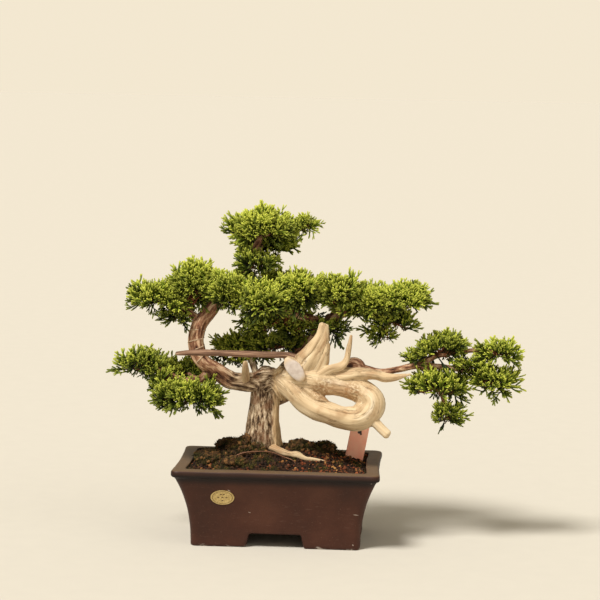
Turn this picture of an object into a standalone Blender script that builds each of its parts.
"""Juniper bonsai with a deadwood loop, growing in a rectangular clay pot.

Metres, +Z up. The pot's long side runs along X and its front faces -Y. Each
piece is one closed solid in its own named object. The tree's stations are
measured from the middle of the pot's rim, so the tree follows the pot's height.
"""
import math

import bmesh
import bpy
from mathutils import Matrix, Vector, noise

# ---- driving dimensions: pot ----
POT_LENGTH = 0.210
POT_DEPTH = 0.154
POT_HEIGHT = 0.080
FLARE = 0.019              # how far the rim stands out past the foot on each side
FLARE_POWER = 2.3          # how late the wall sweeps out
RIM_BOW = 0.0020           # how far the rim's sides pull in between its corners
LIP_WIDTH = 0.014          # flat top of the rim
LIP_HEIGHT = 0.0075
LIP_STEP = 0.0030          # how far the lip stands out past the wall under it
WALL = 0.008
FLOOR = 0.007
FOOT_HEIGHT = 0.0145
FOOT_WALL = 0.010          # thickness of the skirt that the feet are cut from
FRONT_NOTCH = 0.060        # gap between two feet, at the ground
SIDE_NOTCH = 0.042
NOTCH_TAPER = 0.004        # how much narrower each side of a notch is at its top
CORNER_RADIUS = 0.007
INNER_RADIUS = 0.005       # rounding of the hollow's corners
CUT_PAST = 0.002           # how far a cutter runs past the face it cuts
DRAIN_SPACING = 0.086
DRAIN_RADIUS = 0.010

# ---- driving dimensions: what the pot holds ----
CLEARANCE = 0.0003         # air between two pieces that touch
GRIT_DEPTH = 0.009
SOIL_BELOW_RIM = 0.0045    # soil level along the rim
MOUND_HEIGHT = 0.020       # how far the soil rises to the trunk
SCREEN_SIZE = 0.032
SCREEN_THICKNESS = 0.0010
SCREEN_HOLES = 4           # an even number, so that the clip passes between two bars
SCREEN_BAR = 0.0016
CLIP_RADIUS = 0.0006
CLIP_REACH = 0.013
CLIP_BEND = 0.001          # how far a clip's corners are cut off
TIE_WIRE_RADIUS = 0.0007
MARKER_WIDTH = 0.019
MARKER_LENGTH = 0.052
MARKER_THICKNESS = 0.0011
MARKER_IN_SOIL = 0.016
MARKER_FOOT = (0.0735, 0.022)
MARKER_LEAN = (10, -4)     # degrees, to the side and to the back
STICKER_LENGTH = 0.0240
STICKER_HEIGHT = 0.0156
STICKER_THICKNESS = 0.0005
STICKER_PLACE = -0.053     # along the front wall, from its middle
STICKER_RISE = 0.65        # up the wall, as a share of the pot's height

# ---- driving dimensions: tree ----
WOOD_GIRTH = 1.0           # multiplies every stem's radius
PAD_FULLNESS = 1.0         # multiplies every leaf pad's half sizes
PAD_LUMPS = 0.10
PAD_UNDER = 0.85           # how deep a pad's underside is, next to its top
PAD_GAP = 0.0005           # air between two leaf pads

# The canopy reaches further right than left, so the pot stands left of the middle.
POT_CENTRE = Vector((-0.037, 0.0, 0.0))

RIM = Vector((0.0, 0.0, POT_HEIGHT))
RING_CORNER_STEPS = 2
RING_SIDE_STEPS = 3


# ---- small mesh tools ----
def new_object(name, mesh_tool):
    """Object from a bmesh, in triangles, with its faces turned outwards."""
    bmesh.ops.recalc_face_normals(mesh_tool, faces=mesh_tool.faces)
    # one fixed diagonal in every quad, so that a piece and its grown copy bend alike
    bmesh.ops.triangulate(mesh_tool, faces=mesh_tool.faces, quad_method="FIXED")
    mesh = bpy.data.meshes.new(name)
    mesh_tool.to_mesh(mesh)
    mesh_tool.free()
    obj = bpy.data.objects.new(name, mesh)
    bpy.context.scene.collection.objects.link(obj)
    return obj


def loft(name, rings):
    """Closed solid through a list of rings, with a flat cap at both ends."""
    tool = bmesh.new()
    loops = [[tool.verts.new(point) for point in ring] for ring in rings]
    count = len(loops[0])
    for low, high in zip(loops, loops[1:]):
        for i in range(count):
            j = (i + 1) % count
            tool.faces.new((low[i], low[j], high[j], high[i]))
    tool.faces.new(reversed(loops[0]))
    tool.faces.new(loops[-1])
    return new_object(name, tool)


def combine(target, other, operation):
    """Boolean of two objects; the second one is used up."""
    modifier = target.modifiers.new(operation.lower(), "BOOLEAN")
    modifier.operation = operation
    modifier.solver = "EXACT"
    # a thick limb can cross itself in the loop's tight bend, and still has to join
    modifier.use_self = operation == "UNION"
    modifier.object = other
    bpy.context.view_layer.update()
    evaluated = target.evaluated_get(bpy.context.evaluated_depsgraph_get())
    mesh = bpy.data.meshes.new_from_object(evaluated)
    target.modifiers.clear()
    old = target.data
    target.data = mesh
    bpy.data.meshes.remove(old)
    mesh.name = target.name
    bpy.data.objects.remove(other)


def near(first, second):
    """True where the boxes of two objects meet."""
    boxes = []
    for obj in (first, second):
        points = [vertex.co for vertex in obj.data.vertices]
        low = [min(p[k] for p in points) for k in range(3)]
        high = [max(p[k] for p in points) for k in range(3)]
        boxes.append((low, high))
    (low_a, high_a), (low_b, high_b) = boxes
    return all(low_a[k] < high_b[k] and low_b[k] < high_a[k] for k in range(3))


def cut_with(target, makers):
    """Take each maker's grown shape out of the target, where they meet."""
    for make in makers:
        cutter = make()
        if near(target, cutter):
            combine(target, cutter, "DIFFERENCE")
        else:
            bpy.data.objects.remove(cutter)


def box(name, low, high):
    """Plain block between two corners."""
    rings = []
    for z in (low[2], high[2]):
        rings.append([(low[0], low[1], z), (high[0], low[1], z), (high[0], high[1], z), (low[0], high[1], z)])
    return loft(name, rings)


def cylinder(name, centre, radius, low, high, sides=16):
    """Upright round bar."""
    turns = [math.tau * i / sides for i in range(sides)]
    rings = []
    for z in (low, high):
        rings.append([(centre[0] + radius * math.cos(t), centre[1] + radius * math.sin(t), z) for t in turns])
    return loft(name, rings)


# ---- stems, roots and wires ----
def smooth_stations(stations, steps):
    """Catmull-Rom curve through stations of place and radius."""
    padded = [stations[0]] + list(stations) + [stations[-1]]
    smooth = []
    for i in range(1, len(padded) - 2):
        before, start, end, after = (Vector(padded[i + k]) for k in (-1, 0, 1, 2))
        for step in range(steps):
            t = step / steps
            smooth.append(
                0.5 * (2 * start + (end - before) * t
                       + (2 * before - 5 * start + 4 * end - after) * t ** 2
                       + (3 * start - before - 3 * end + after) * t ** 3)
            )
    smooth.append(Vector(padded[-2]))
    return smooth


def tube(name, stations, sides=9, steps=2, grow=0.0, girth=1.0):
    """Round bar along stations of (x, y, z, radius), grown by a margin on every side."""
    smooth = smooth_stations([Vector(s) for s in stations], steps)
    centres = [Vector(s[:3]) for s in smooth]
    radii = [max(s[3], 0.0004) * girth + grow for s in smooth]
    centres[0] += (centres[0] - centres[1]).normalized() * grow
    centres[-1] += (centres[-1] - centres[-2]).normalized() * grow
    side = None
    rings = []
    for i, centre in enumerate(centres):
        ahead = (centres[min(i + 1, len(centres) - 1)] - centres[max(i - 1, 0)]).normalized()
        if side is None:
            side = ahead.cross(Vector((0.3, 1.0, 0.2))).normalized()
        side = (side - ahead * side.dot(ahead)).normalized()
        up = ahead.cross(side)
        ring = []
        for k in range(sides):
            turn = math.tau * k / sides
            ring.append(centre + (side * math.cos(turn) + up * math.sin(turn)) * radii[i])
        rings.append(ring)
    return loft(name, rings)


def from_rim(stations):
    """Stations measured from the middle of the rim, put in the pot's frame."""
    return [(x, y, z + RIM.z, radius) for x, y, z, radius in stations]


def wood(name, parts, grow=0.0):
    """One grown piece of wood: its limbs united into one solid."""
    whole = None
    for sides, stations in parts:
        limb = tube(name, from_rim(stations), sides=sides, steps=1, grow=grow, girth=WOOD_GIRTH)
        if whole is None:
            whole = limb
        else:
            combine(whole, limb, "UNION")
    whole.name = name
    return whole


# ---- materials ----
def finish(obj, colour, roughness, metallic=0.0):
    """Give an object its own plain surface."""
    material = bpy.data.materials.new(obj.name)
    material.use_nodes = True
    shader = material.node_tree.nodes["Principled BSDF"]
    shader.inputs["Base Color"].default_value = (*colour, 1.0)
    shader.inputs["Roughness"].default_value = roughness
    shader.inputs["Metallic"].default_value = metallic
    material.diffuse_color = (*colour, 1.0)
    obj.data.materials.clear()
    obj.data.materials.append(material)


CLAY = (0.075, 0.048, 0.038)
PAPER = (0.76, 0.66, 0.36)
MESH_GREY = (0.05, 0.05, 0.05)
WIRE_BROWN = (0.28, 0.15, 0.08)
GRIT = (0.20, 0.13, 0.09)
SOIL = (0.07, 0.045, 0.03)
MOSS = (0.05, 0.07, 0.02)
MARKER_PINK = (0.75, 0.25, 0.18)
BLEACHED_WOOD = (0.70, 0.52, 0.32)
BARK = (0.22, 0.11, 0.07)
LEAF = (0.12, 0.22, 0.04)


# ---- pot ----
def wall_offset(z):
    """How far the outer wall stands out past the foot at a height."""
    share = max(0.0, min(1.0, z / (POT_HEIGHT - LIP_HEIGHT)))
    return (FLARE - LIP_STEP) * share ** FLARE_POWER


def bow_at(z):
    """How far the sides pull in between the corners at a height."""
    return RIM_BOW * max(0.0, z / POT_HEIGHT) ** FLARE_POWER


def pot_ring(offset, z, radius, bow=0.0):
    """Rounded rectangle, an offset outside the foot's outline, with bowed sides."""
    half_x = POT_LENGTH / 2 - FLARE + offset
    half_y = POT_DEPTH / 2 - FLARE + offset
    ring = []
    corners = ((1, 1, 0.0), (-1, 1, 0.25), (-1, -1, 0.5), (1, -1, 0.75))
    for index, (sx, sy, start) in enumerate(corners):
        centre = Vector((sx * (half_x - radius), sy * (half_y - radius), z))
        for step in range(RING_CORNER_STEPS + 1):
            turn = math.tau * (start + 0.25 * step / RING_CORNER_STEPS)
            ring.append(centre + Vector((math.cos(turn), math.sin(turn), 0)) * radius)
        following = corners[(index + 1) % 4]
        end = Vector((following[0] * (half_x - radius), following[1] * (half_y - radius), z))
        turn = math.tau * (start + 0.25)
        outward = Vector((math.cos(turn), math.sin(turn), 0))
        first, last = centre + outward * radius, end + outward * radius
        for step in range(1, RING_SIDE_STEPS):
            share = step / RING_SIDE_STEPS
            inwards = bow * math.sin(math.pi * share)
            ring.append(first.lerp(last, share) - outward * inwards)
    return ring


def outer_rings():
    """Outside of the pot, from the ground to the top of the lip."""
    wall_top = POT_HEIGHT - LIP_HEIGHT
    rings = []
    for share in (0.0, 0.18, 0.4, 0.58, 0.74, 0.88, 1.0):
        z = wall_top * share
        rings.append(pot_ring(wall_offset(z), z, CORNER_RADIUS, bow_at(z)))
    edge = LIP_HEIGHT * 0.25
    for rise, inset in ((0.0, 0.0006), (edge, 0.0), (LIP_HEIGHT - edge, 0.0), (LIP_HEIGHT, 0.0012)):
        z = wall_top + rise
        rings.append(pot_ring(FLARE - inset, z, CORNER_RADIUS, bow_at(z)))
    return rings


def floor_top():
    """Height of the pot's floor inside."""
    return FOOT_HEIGHT + FLOOR


def inner_offset(z):
    """Outline of the hollow at a height, as an offset from the foot's outline."""
    return min(wall_offset(z) - WALL, FLARE - LIP_WIDTH)


def hollow_levels():
    """Heights at which the hollow's wall bends."""
    depth = POT_HEIGHT - floor_top()
    return [floor_top() + depth * share for share in (0.0, 0.3, 0.6, 0.82, 1.0)]


def hollow_ring(z, margin=0.0):
    """Outline of the hollow at any height, less a margin, on the wall's own flats."""
    levels = hollow_levels()
    index = max(i for i in range(len(levels) - 1) if i == 0 or z >= levels[i])
    ends = []
    for level in levels[index:index + 2]:
        offset = inner_offset(level) - margin
        ends.append(pot_ring(offset, level, INNER_RADIUS, bow_at(level)))
    share = (z - levels[index]) / (levels[index + 1] - levels[index])
    return [low.lerp(high, share) for low, high in zip(*ends)]


def inner_rings(margin, low, high):
    """Body that fills the hollow between two heights, less a margin."""
    heights = [low] + [level for level in hollow_levels() if low < level < high] + [high]
    return [hollow_ring(z, margin) for z in heights]


def drain_places():
    """Centre of each drain hole."""
    return [(-DRAIN_SPACING / 2, 0.0), (DRAIN_SPACING / 2, 0.0)]


def notch(name, width, length, along_x):
    """Cutter for the gap between two feet, wider at the ground."""
    rings = []
    for z, half in ((-CUT_PAST, width / 2), (FOOT_HEIGHT, width / 2 - NOTCH_TAPER)):
        corners = [(-half, -length), (half, -length), (half, length), (-half, length)]
        rings.append([(y, x, z) if along_x else (x, y, z) for x, y in corners])
    if along_x:
        rings = [list(reversed(ring)) for ring in rings]
    return loft(name, rings)


def make_pot():
    """Fired clay pot: flared walls, flat lip, four corner feet, two drain holes."""
    pot = loft("pot", outer_rings())
    hollow = inner_rings(0.0, floor_top(), POT_HEIGHT)
    hollow.append([point + Vector((0, 0, 2 * CUT_PAST)) for point in hollow[-1]])
    combine(pot, loft("hollow", hollow), "DIFFERENCE")
    recess = [pot_ring(-FOOT_WALL, z, INNER_RADIUS) for z in (-CUT_PAST, FOOT_HEIGHT)]
    combine(pot, loft("recess", recess), "DIFFERENCE")
    combine(pot, notch("front_notch", FRONT_NOTCH, POT_DEPTH, False), "DIFFERENCE")
    combine(pot, notch("side_notch", SIDE_NOTCH, POT_LENGTH, True), "DIFFERENCE")
    for place in drain_places():
        drill = cylinder("drain", place, DRAIN_RADIUS, FOOT_HEIGHT - CUT_PAST, floor_top() + CUT_PAST)
        combine(pot, drill, "DIFFERENCE")
    finish(pot, CLAY, 0.55)
    return pot


def make_sticker():
    """Oval paper label that follows the front wall."""
    middle_x, middle_z = STICKER_PLACE, POT_HEIGHT * STICKER_RISE
    turns = 24
    rings = []
    for depth in (CLEARANCE, CLEARANCE + STICKER_THICKNESS):
        ring = []
        for i in range(turns):
            turn = math.tau * i / turns
            x = middle_x + STICKER_LENGTH / 2 * math.cos(turn)
            z = middle_z + STICKER_HEIGHT / 2 * math.sin(turn)
            ring.append((x, front_wall(x, z) - depth, z))
        rings.append(ring)
    sticker = loft("maker_sticker", rings)
    finish(sticker, PAPER, 0.5)
    return sticker


def front_wall(x, z):
    """Y of the front wall's outside at a place on it."""
    straight = POT_LENGTH / 2 - FLARE + wall_offset(z) - CORNER_RADIUS
    share = (x + straight) / (2 * straight)
    return -(POT_DEPTH / 2 - FLARE + wall_offset(z)) + bow_at(z) * math.sin(math.pi * share)


# ---- drainage ----
def screen_pitch():
    """Distance from one opening of a screen to the next."""
    return (SCREEN_SIZE - SCREEN_BAR) / SCREEN_HOLES


def make_screen(name, place, grow=0.0):
    """Plastic mesh over a drain hole; grown, it is a plain block for cutting."""
    low = floor_top() + CLEARANCE - grow
    high = floor_top() + CLEARANCE + SCREEN_THICKNESS + grow
    half = SCREEN_SIZE / 2 + grow
    if grow:
        return box(name, (place[0] - half, place[1] - half, low), (place[0] + half, place[1] + half, high))
    edges = []
    for index in range(SCREEN_HOLES + 1):
        start = -half + index * screen_pitch()
        edges += [start, start + SCREEN_BAR]
    tool = bmesh.new()
    grid = {}

    def corner(i, j, level):
        if (i, j, level) not in grid:
            z = (low, high)[level]
            grid[i, j, level] = tool.verts.new((place[0] + edges[i], place[1] + edges[j], z))
        return grid[i, j, level]

    def is_bar(i, j):
        inside = 0 <= i < len(edges) - 1 and 0 <= j < len(edges) - 1
        return inside and (i % 2 == 0 or j % 2 == 0)

    for i in range(len(edges) - 1):
        for j in range(len(edges) - 1):
            if not is_bar(i, j):
                continue
            for level in (0, 1):
                tool.faces.new([corner(i + a, j + b, level) for a, b in ((0, 0), (1, 0), (1, 1), (0, 1))])
            sides = (((-1, 0), (0, 0), (0, 1)), ((1, 0), (1, 0), (1, 1)),
                     ((0, -1), (0, 0), (1, 0)), ((0, 1), (0, 1), (1, 1)))
            for (di, dj), first, last in sides:
                if not is_bar(i + di, j + dj):
                    ends = (corner(i + first[0], j + first[1], 0), corner(i + last[0], j + last[1], 0))
                    tops = (corner(i + first[0], j + first[1], 1), corner(i + last[0], j + last[1], 1))
                    tool.faces.new((ends[0], ends[1], tops[1], tops[0]))
    return new_object(name, tool)


def make_clip(name, place, grow=0.0):
    """Bent wire: over the screen, down through the hole, out under the floor."""
    leg = screen_pitch() / 2
    over = floor_top() + 2 * CLEARANCE + SCREEN_THICKNESS + CLIP_RADIUS
    under = FOOT_HEIGHT - CLEARANCE - CLIP_RADIUS
    y = place[1] + leg
    low_bend = 2 * CLIP_BEND
    route = [(-CLIP_REACH, under), (-leg - low_bend, under), (-leg, under + low_bend),
             (-leg, over - CLIP_BEND), (-leg + CLIP_BEND, over), (leg - CLIP_BEND, over),
             (leg, over - CLIP_BEND), (leg, under + low_bend), (leg + low_bend, under),
             (CLIP_REACH, under)]
    stations = [(place[0] + x, y, z, CLIP_RADIUS) for x, z in route]
    return tube(name, stations, sides=6, steps=1, grow=grow)


# ---- soil ----
def soil_height(x, y):
    """Height of the soil at a place inside the pot."""
    edge = POT_HEIGHT - SOIL_BELOW_RIM
    around_trunk = math.exp(-((x + 0.024) / 0.050) ** 2 - ((y - 0.012) / 0.046) ** 2)
    right_shoulder = 0.55 * math.exp(-((x - 0.044) / 0.030) ** 2 - ((y - 0.018) / 0.036) ** 2)
    return edge + MOUND_HEIGHT * (around_trunk + right_shoulder)


def soil_floor():
    """Height of the underside of the soil."""
    return floor_top() + CLEARANCE + GRIT_DEPTH + CLEARANCE


def make_grit():
    """Coarse drainage layer under the soil."""
    low = floor_top() + CLEARANCE
    grit = loft("drainage_grit", inner_rings(CLEARANCE, low, low + GRIT_DEPTH))
    makers = []
    for place in drain_places():
        makers.append(lambda place=place: make_screen("screen_room", place, CLEARANCE))
        makers.append(lambda place=place: make_clip("clip_room", place, CLEARANCE))
    cut_with(grit, makers)
    finish(grit, GRIT, 0.9)
    return grit


def make_soil(name="soil_bed", grow=0.0):
    """Potting soil: fills the pot and mounds up to the trunk."""
    edge = POT_HEIGHT - SOIL_BELOW_RIM
    rings = inner_rings(CLEARANCE - grow, soil_floor() - grow, edge - 0.006)
    base = hollow_ring(edge, CLEARANCE - grow)
    for scale in (1.0, 0.86, 0.70, 0.54, 0.38, 0.22, 0.08):
        ring = []
        for point in base:
            x, y = point.x * scale, point.y * scale
            height = soil_height(x, y) if scale < 1.0 else edge
            ring.append(Vector((x, y, height + grow)))
        rings.append(ring)
    return loft(name, rings)


# ---- moss ----
MOSS_CUSHIONS = {          # centre x, y, half length, half depth, height
    "moss_left": (-0.072, -0.006, 0.017, 0.030, 0.0045),
    "moss_front_left": (-0.044, -0.034, 0.015, 0.014, 0.0040),
    "moss_back_left": (-0.050, 0.030, 0.020, 0.018, 0.0055),
    "moss_middle": (0.020, 0.012, 0.015, 0.014, 0.0075),
    "moss_right": (0.046, 0.016, 0.012, 0.015, 0.0070),
    "moss_back": (0.030, 0.046, 0.024, 0.012, 0.0050),
}


def make_moss(name, cushion):
    """Low cushion of moss lying on the soil."""
    x, y, half_length, half_depth, height = cushion
    centre = Vector((x, y, soil_height(x, y) - 0.001))
    return lump(name, centre, (half_length, half_depth, height + 0.001), 12, 5, 0.12, 0.0)


def lump(name, centre, half, around, levels, lumpiness, grow, under=1.0):
    """Uneven round body; its underside can be flatter than its top."""
    tool = bmesh.new()
    rows = []
    seed = Vector((centre[0] * 31.0, centre[1] * 31.0, centre[2] * 31.0))
    for level in range(levels + 1):
        tilt = math.pi * level / levels
        row = []
        for k in range(around if 0 < level < levels else 1):
            turn = math.tau * k / around
            way = Vector((math.sin(tilt) * math.cos(turn), math.sin(tilt) * math.sin(turn), math.cos(tilt)))
            swell = 1.0 + lumpiness * noise.noise(way * 1.6 + seed)
            point = Vector((way[k2] * (half[k2] * swell + grow) for k2 in range(3)))
            if way.z < 0:
                point.z = way.z * (half[2] * under * swell + grow)
            row.append(tool.verts.new(Vector(centre) + point))
        rows.append(row)
    for high, low in zip(rows, rows[1:]):
        for k in range(around):
            j = (k + 1) % around
            loop = [high[k % len(high)], low[k % len(low)], low[j % len(low)], high[j % len(high)]]
            corners = [v for i, v in enumerate(loop) if v not in loop[:i]]
            tool.faces.new(corners)
    return new_object(name, tool)


# ---- things on the soil ----
def tie_wire_stations():
    """Wire that rises out of the soil, arches over the root base and goes back in."""
    route = ((-0.052, -0.030, -0.006), (-0.047, -0.028, 0.002), (-0.038, -0.025, 0.005),
             (-0.024, -0.023, 0.006), (-0.008, -0.022, 0.006), (0.006, -0.024, 0.004),
             (0.016, -0.026, 0.002), (0.021, -0.027, -0.006))
    return [(x, y, soil_height(x, y) + above, TIE_WIRE_RADIUS) for x, y, above in route]


def make_tie_wire(name="tie_down_wire", grow=0.0):
    """Thin wire that holds the root base down."""
    return tube(name, tie_wire_stations(), sides=6, steps=2, grow=grow)


def make_marker(name="plant_marker", grow=0.0):
    """Flat strip pushed into the soil, leaning back and to the left."""
    foot = Vector((*MARKER_FOOT, 0.0))
    foot.z = soil_height(foot.x, foot.y) - MARKER_IN_SOIL
    half = Vector((MARKER_WIDTH / 2 + grow, MARKER_THICKNESS / 2 + grow, 0))
    marker = box(name, (-half.x, -half.y, -grow), (half.x, half.y, MARKER_LENGTH + grow))
    sideways, backwards = (math.radians(angle) for angle in MARKER_LEAN)
    lean = Matrix.Rotation(sideways, 4, "Y") @ Matrix.Rotation(backwards, 4, "X")
    marker.data.transform(Matrix.Translation(foot) @ lean)
    return marker


# ---- trunk, deadwood and live stems: (sides, stations of x, y, height over the rim, radius) ----
TRUNK = [
    (12, [(-0.017, 0.012, -0.022, 0.013), (-0.017, 0.012, 0.004, 0.020), (-0.018, 0.011, 0.018, 0.0195),
          (-0.018, 0.010, 0.036, 0.017), (-0.0175, 0.009, 0.052, 0.0152), (-0.017, 0.008, 0.068, 0.0148),
          (-0.017, 0.006, 0.080, 0.0145), (-0.012, 0.003, 0.092, 0.011)]),
    # roots under the soil
    (7, [(-0.020, 0.014, 0.004, 0.011), (-0.040, 0.022, -0.006, 0.007), (-0.060, 0.030, -0.016, 0.003)]),
    (7, [(-0.014, 0.016, 0.002, 0.011), (0.010, 0.028, -0.008, 0.007), (0.030, 0.038, -0.018, 0.003)]),
    (7, [(-0.022, 0.004, 0.000, 0.010), (-0.034, -0.014, -0.008, 0.006), (-0.046, -0.026, -0.018, 0.003)]),
    # root that runs out over the soil to the right
    (7, [(-0.012, 0.004, 0.012, 0.010), (-0.004, -0.010, 0.0145, 0.0045), (0.005, -0.015, 0.0118, 0.0032),
         (0.012, -0.016, 0.0098, 0.0030), (0.019, -0.016, 0.0092, 0.0038), (0.027, -0.018, 0.0058, 0.0026),
         (0.037, -0.017, 0.0046, 0.0022), (0.049, -0.015, 0.0020, 0.0014)]),
    # lower arm of the deadwood loop
    (11, [(-0.012, 0.004, 0.082, 0.013), (0.006, -0.009, 0.084, 0.0145), (0.017, -0.020, 0.076, 0.0135),
          (0.027, -0.026, 0.066, 0.0120), (0.041, -0.030, 0.059, 0.0110), (0.056, -0.032, 0.054, 0.0108),
          (0.070, -0.032, 0.0505, 0.0120), (0.082, -0.031, 0.051, 0.0135), (0.091, -0.030, 0.058, 0.0145),
          (0.092, -0.028, 0.069, 0.0140)]),
    # upper arm, back to the trunk
    (10, [(0.092, -0.028, 0.067, 0.0135), (0.086, -0.027, 0.076, 0.0125), (0.074, -0.026, 0.0815, 0.0118),
          (0.060, -0.025, 0.0845, 0.0124), (0.044, -0.024, 0.0870, 0.0145), (0.028, -0.022, 0.089, 0.0140),
          (0.010, -0.014, 0.088, 0.0120)]),
    # thick upright dead branch
    (10, [(0.018, -0.018, 0.092, 0.0135), (0.028, -0.024, 0.103, 0.0150), (0.036, -0.028, 0.114, 0.0135),
          (0.0405, -0.029, 0.120, 0.0105), (0.044, -0.030, 0.127, 0.0080), (0.045, -0.030, 0.134, 0.0056),
          (0.0445, -0.030, 0.1455, 0.0043)]),
    # dead branch that points right
    (8, [(0.054, -0.026, 0.091, 0.0085), (0.070, -0.029, 0.094, 0.0078), (0.085, -0.030, 0.096, 0.0063),
         (0.098, -0.031, 0.0955, 0.0053), (0.107, -0.032, 0.0935, 0.0053), (0.118, -0.033, 0.0938, 0.0036),
         (0.127, -0.034, 0.096, 0.0019), (0.133, -0.035, 0.0975, 0.0012)]),
    # strap that crosses the loop and ends in a thin upright prong
    (7, [(0.038, -0.031, 0.093, 0.0050), (0.052, -0.034, 0.101, 0.0042), (0.062, -0.034, 0.104, 0.0040),
         (0.0675, -0.033, 0.110, 0.0032), (0.070, -0.032, 0.122, 0.0026), (0.072, -0.031, 0.135, 0.0015)]),
    # short stub under the loop's right bend
    (7, [(0.092, -0.033, 0.052, 0.0070), (0.103, -0.037, 0.043, 0.0050), (0.112, -0.040, 0.036, 0.0036)]),
    # sawn stub that faces forwards
    (12, [(0.017, -0.020, 0.099, 0.0100), (0.0165, -0.030, 0.100, 0.0098), (0.016, -0.0365, 0.1005, 0.0094)]),
    # long thin dead branch that points left
    (8, [(0.020, -0.024, 0.106, 0.0060), (0.008, -0.027, 0.1125, 0.0036), (-0.010, -0.028, 0.1130, 0.0033),
         (-0.034, -0.028, 0.1130, 0.0032), (-0.060, -0.029, 0.1135, 0.0031), (-0.085, -0.029, 0.1135, 0.0028),
         (-0.100, -0.030, 0.1125, 0.0020), (-0.106, -0.030, 0.1120, 0.0008)]),
]

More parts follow.
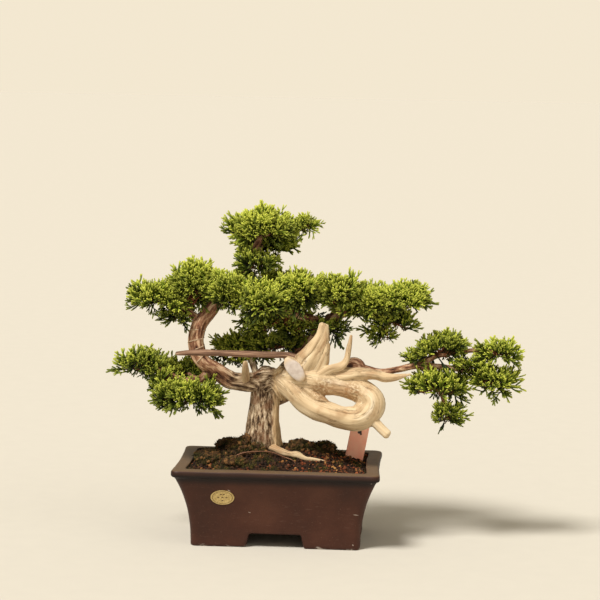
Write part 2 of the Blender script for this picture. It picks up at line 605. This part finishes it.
LIVE_STEMS = {
    # curls up on the left and carries the crown
    "leader_branch": [
        (10, [(-0.017, 0.004, 0.078, 0.0090), (-0.030, 0.002, 0.080, 0.0102), (-0.043, -0.002, 0.081, 0.0092),
              (-0.053, -0.005, 0.083, 0.0090), (-0.061, -0.007, 0.089, 0.0086), (-0.070, -0.008, 0.0945, 0.0082),
              (-0.078, -0.009, 0.1005, 0.0084), (-0.0845, -0.009, 0.109, 0.0083), (-0.087, -0.008, 0.118, 0.0081),
              (-0.0875, -0.007, 0.128, 0.0080), (-0.0855, -0.005, 0.137, 0.0080), (-0.081, -0.002, 0.145, 0.0080),
              (-0.072, 0.002, 0.157, 0.0074), (-0.060, 0.005, 0.170, 0.0068), (-0.050, 0.006, 0.183, 0.0062),
              (-0.041, 0.005, 0.196, 0.0056), (-0.033, 0.003, 0.211, 0.0046), (-0.026, 0.002, 0.225, 0.0036),
              (-0.020, 0.001, 0.238, 0.0022)]),
        # bleached stub on the branch
        (7, [(-0.0365, -0.004, 0.083, 0.0050), (-0.036, -0.013, 0.094, 0.0038), (-0.0362, -0.014, 0.1030, 0.0026)]),
        # twigs to the back and to the right of the crown
        (6, [(-0.031, 0.003, 0.214, 0.0036), (-0.025, 0.016, 0.219, 0.0028), (-0.021, 0.032, 0.223, 0.0016)]),
        (6, [(-0.022, 0.001, 0.232, 0.0026), (-0.004, -0.001, 0.239, 0.0022), (0.016, -0.003, 0.245, 0.0014)]),
    ],
    # rises behind the deadwood and carries the right half of the canopy
    "second_stem": [
        (9, [(-0.014, 0.010, 0.074, 0.0090), (0.004, 0.018, 0.091, 0.0086), (0.021, 0.017, 0.108, 0.0080),
             (0.033, 0.013, 0.124, 0.0075), (0.044, 0.008, 0.139, 0.0068), (0.056, 0.004, 0.151, 0.0060),
             (0.074, 0.002, 0.160, 0.0050), (0.096, 0.000, 0.166, 0.0040), (0.120, -0.003, 0.171, 0.0025)]),
        # twig under the right end
        (6, [(0.082, 0.002, 0.161, 0.0034), (0.095, 0.005, 0.153, 0.0028), (0.112, 0.006, 0.147, 0.0018)]),
    ],
    # arches behind the loop, humps up over it and feeds the low pads on the right
    "right_low_branch": [
        (8, [(-0.012, 0.012, 0.060, 0.0080), (0.010, 0.017, 0.070, 0.0080), (0.032, 0.015, 0.082, 0.0076),
             (0.052, 0.008, 0.094, 0.0076), (0.068, 0.002, 0.1015, 0.0080), (0.079, 0.000, 0.1030, 0.0076),
             (0.091, -0.003, 0.0990, 0.0056), (0.106, -0.005, 0.0965, 0.0050), (0.122, -0.006, 0.0995, 0.0046),
             (0.142, -0.007, 0.1030, 0.0040), (0.166, -0.006, 0.1020, 0.0030), (0.192, -0.004, 0.0980, 0.0024),
              (0.212, -0.003, 0.0930, 0.0016)]),
    ],
    "right_drop_branch": [
        (6, [(0.146, -0.008, 0.102, 0.0034), (0.158, -0.010, 0.090, 0.0030), (0.166, -0.011, 0.072, 0.0024),
             (0.170, -0.012, 0.058, 0.0018)]),
    ],
    "right_rise_branch": [
        (6, [(0.142, -0.007, 0.104, 0.0034), (0.160, -0.006, 0.114, 0.0030), (0.188, -0.005, 0.119, 0.0024),
             (0.216, -0.005, 0.120, 0.0016)]),
    ],
    "left_tip_branch": [
        (6, [(-0.083, -0.004, 0.141, 0.0044), (-0.098, -0.005, 0.154, 0.0034), (-0.112, -0.005, 0.161, 0.0027),
             (-0.130, -0.005, 0.167, 0.0018)]),
    ],
    "left_back_branch": [
        (6, [(-0.074, 0.001, 0.154, 0.0044), (-0.084, 0.020, 0.161, 0.0034), (-0.092, 0.042, 0.168, 0.0020)]),
    ],
    "left_low_branch": [
        (7, [(-0.072, -0.008, 0.093, 0.0048), (-0.084, -0.013, 0.082, 0.0042), (-0.102, -0.011, 0.083, 0.0034),
             (-0.122, -0.008, 0.091, 0.0028), (-0.142, -0.006, 0.097, 0.0018)]),
        # twig to the back
        (6, [(-0.084, -0.012, 0.082, 0.0034), (-0.090, 0.004, 0.083, 0.0028), (-0.098, 0.020, 0.086, 0.0016)]),
    ],
    "inner_branch": [
        (6, [(-0.024, 0.006, 0.082, 0.0044), (-0.031, 0.018, 0.098, 0.0034), (-0.040, 0.030, 0.113, 0.0020)]),
    ],
    "centre_branch": [
        (7, [(0.045, 0.008, 0.141, 0.0050), (0.028, 0.001, 0.148, 0.0044), (0.008, -0.006, 0.154, 0.0036),
             (-0.008, -0.014, 0.161, 0.0028), (-0.018, -0.022, 0.167, 0.0018)]),
    ],
    "back_branch": [
        (6, [(0.024, 0.018, 0.113, 0.0050), (0.014, 0.034, 0.132, 0.0040), (0.004, 0.044, 0.150, 0.0030),
             (0.002, 0.048, 0.168, 0.0018)]),
    ],
    "right_back_branch": [
        (6, [(0.060, 0.004, 0.155, 0.0040), (0.070, 0.022, 0.160, 0.0032), (0.082, 0.042, 0.166, 0.0018)]),
    ],
}

LEAF_PADS = {              # centre x, y, height over the rim; half length, half depth, half height
    "crown_pad": (-0.022, 0.002, 0.240, 0.040, 0.036, 0.0235),
    "crown_right_pad": (0.020, -0.004, 0.246, 0.017, 0.018, 0.0105),
    "crown_back_pad": (-0.020, 0.034, 0.224, 0.030, 0.022, 0.018),
    "crown_low_pad": (-0.026, -0.010, 0.206, 0.023, 0.022, 0.013),
    "left_tip_pad": (-0.127, -0.006, 0.169, 0.031, 0.026, 0.017),
    "left_middle_pad": (-0.089, -0.004, 0.181, 0.027, 0.030, 0.025),
    "left_inner_pad": (-0.057, -0.012, 0.174, 0.024, 0.026, 0.022),
    "left_under_pad": (-0.106, 0.004, 0.150, 0.020, 0.020, 0.012),
    "left_back_pad": (-0.092, 0.046, 0.168, 0.036, 0.026, 0.020),
    "centre_front_pad": (-0.019, -0.026, 0.168, 0.027, 0.026, 0.021),
    "centre_pad": (0.016, -0.014, 0.176, 0.027, 0.027, 0.022),
    "centre_under_pad": (-0.004, 0.006, 0.146, 0.036, 0.022, 0.011),
    "centre_back_pad": (0.002, 0.050, 0.170, 0.040, 0.028, 0.024),
    "inner_left_pad": (-0.042, 0.032, 0.116, 0.030, 0.018, 0.014),
    "right_inner_pad": (0.055, -0.010, 0.176, 0.025, 0.027, 0.021),
    "right_middle_pad": (0.089, -0.002, 0.169, 0.026, 0.028, 0.018),
    "right_tip_pad": (0.123, -0.004, 0.172, 0.030, 0.026, 0.020),
    "right_under_pad": (0.114, 0.006, 0.148, 0.028, 0.020, 0.011),
    "right_back_pad": (0.082, 0.044, 0.166, 0.038, 0.024, 0.018),
    "left_low_tip_pad": (-0.143, -0.006, 0.098, 0.032, 0.024, 0.018),
    "left_low_pad": (-0.094, -0.020, 0.068, 0.040, 0.025, 0.020),
    "left_low_back_pad": (-0.100, 0.024, 0.086, 0.034, 0.021, 0.019),
    "right_low_top_pad": (0.162, -0.006, 0.122, 0.029, 0.024, 0.020),
    "right_low_tip_pad": (0.222, -0.006, 0.120, 0.025, 0.020, 0.015),
    "right_low_outer_pad": (0.217, -0.002, 0.091, 0.027, 0.024, 0.017),
    "right_low_pad": (0.160, -0.010, 0.083, 0.034, 0.027, 0.019),
    "right_drop_pad": (0.170, -0.012, 0.055, 0.021, 0.019, 0.016),
}


def make_pad(name, pad, grow=0.0):
    """Cloud of leaf sprays, as one plain body."""
    x, y, z, *half = pad
    sizes = [size * PAD_FULLNESS for size in half]
    return lump(name, (x, y, z + RIM.z), sizes, 10, 7, PAD_LUMPS, grow, under=PAD_UNDER)


# ---- assembly ----
def build():
    """Every piece, cut so that no two of them overlap."""
    pieces = [make_pot(), make_sticker(), make_grit()]
    for side, place in zip(("left", "right"), drain_places()):
        screen = make_screen(f"drain_screen_{side}", place)
        finish(screen, MESH_GREY, 0.6)
        clip = make_clip(f"screen_clip_{side}", place)
        finish(clip, WIRE_BROWN, 0.4, 1.0)
        pieces += [screen, clip]

    trunk = wood("trunk", TRUNK)
    finish(trunk, BLEACHED_WOOD, 0.8)
    pieces.append(trunk)
    wood_rooms = [lambda: wood("trunk_room", TRUNK, CLEARANCE)]
    for name, parts in LIVE_STEMS.items():
        stem = wood(name, parts)
        cut_with(stem, wood_rooms)
        keep_largest(stem)
        finish(stem, BARK, 0.85)
        pieces.append(stem)
        wood_rooms.append(lambda parts=parts: wood("stem_room", parts, CLEARANCE))

    marker = make_marker()
    finish(marker, MARKER_PINK, 0.5)
    soil = make_soil()
    cut_with(soil, [wood_rooms[0], lambda: make_marker("marker_room", CLEARANCE)])
    finish(soil, SOIL, 0.95)
    soil_room = [lambda: make_soil("soil_room", CLEARANCE)]
    wire = make_tie_wire()
    cut_with(wire, soil_room + wood_rooms[:1])
    keep_largest(wire)
    finish(wire, WIRE_BROWN, 0.4, 1.0)
    pieces += [marker, soil, wire]

    moss_rooms = soil_room + wood_rooms[:1] + [
        lambda: make_marker("marker_room", CLEARANCE),
        lambda: make_tie_wire("wire_room", CLEARANCE),
    ]
    for name, cushion in MOSS_CUSHIONS.items():
        moss = make_moss(name, cushion)
        cut_with(moss, moss_rooms)
        keep_largest(moss)
        finish(moss, MOSS, 0.95)
        pieces.append(moss)

    pad_rooms = list(wood_rooms)
    for name, pad in LEAF_PADS.items():
        leaves = make_pad(name, pad)
        cut_with(leaves, pad_rooms)
        keep_largest(leaves)
        finish(leaves, LEAF, 0.7)
        pieces.append(leaves)
        pad_rooms.append(lambda pad=pad: make_pad("pad_room", pad, PAD_GAP))
    return pieces


def keep_largest(obj):
    """Drop crumbs that a cut left beside the main body."""
    tool = bmesh.new()
    tool.from_mesh(obj.data)
    left = set(tool.verts)
    bodies = []
    while left:
        body, edge = set(), [next(iter(left))]
        while edge:
            vertex = edge.pop()
            if vertex in body:
                continue
            body.add(vertex)
            edge += [link.other_vert(vertex) for link in vertex.link_edges]
        bodies.append(body)
        left -= body
    bodies.sort(key=len)
    crumbs = [vertex for body in bodies[:-1] for vertex in body]
    if crumbs:
        bmesh.ops.delete(tool, geom=crumbs, context="VERTS")
        tool.to_mesh(obj.data)
    tool.free()


for leftover in list(bpy.data.objects):
    bpy.data.objects.remove(leftover)
frame = bpy.data.objects.new("bonsai_frame", None)
bpy.context.scene.collection.objects.link(frame)
frame.location = POT_CENTRE
for piece in build():
    piece.parent = frame
bpy.context.view_layer.update()
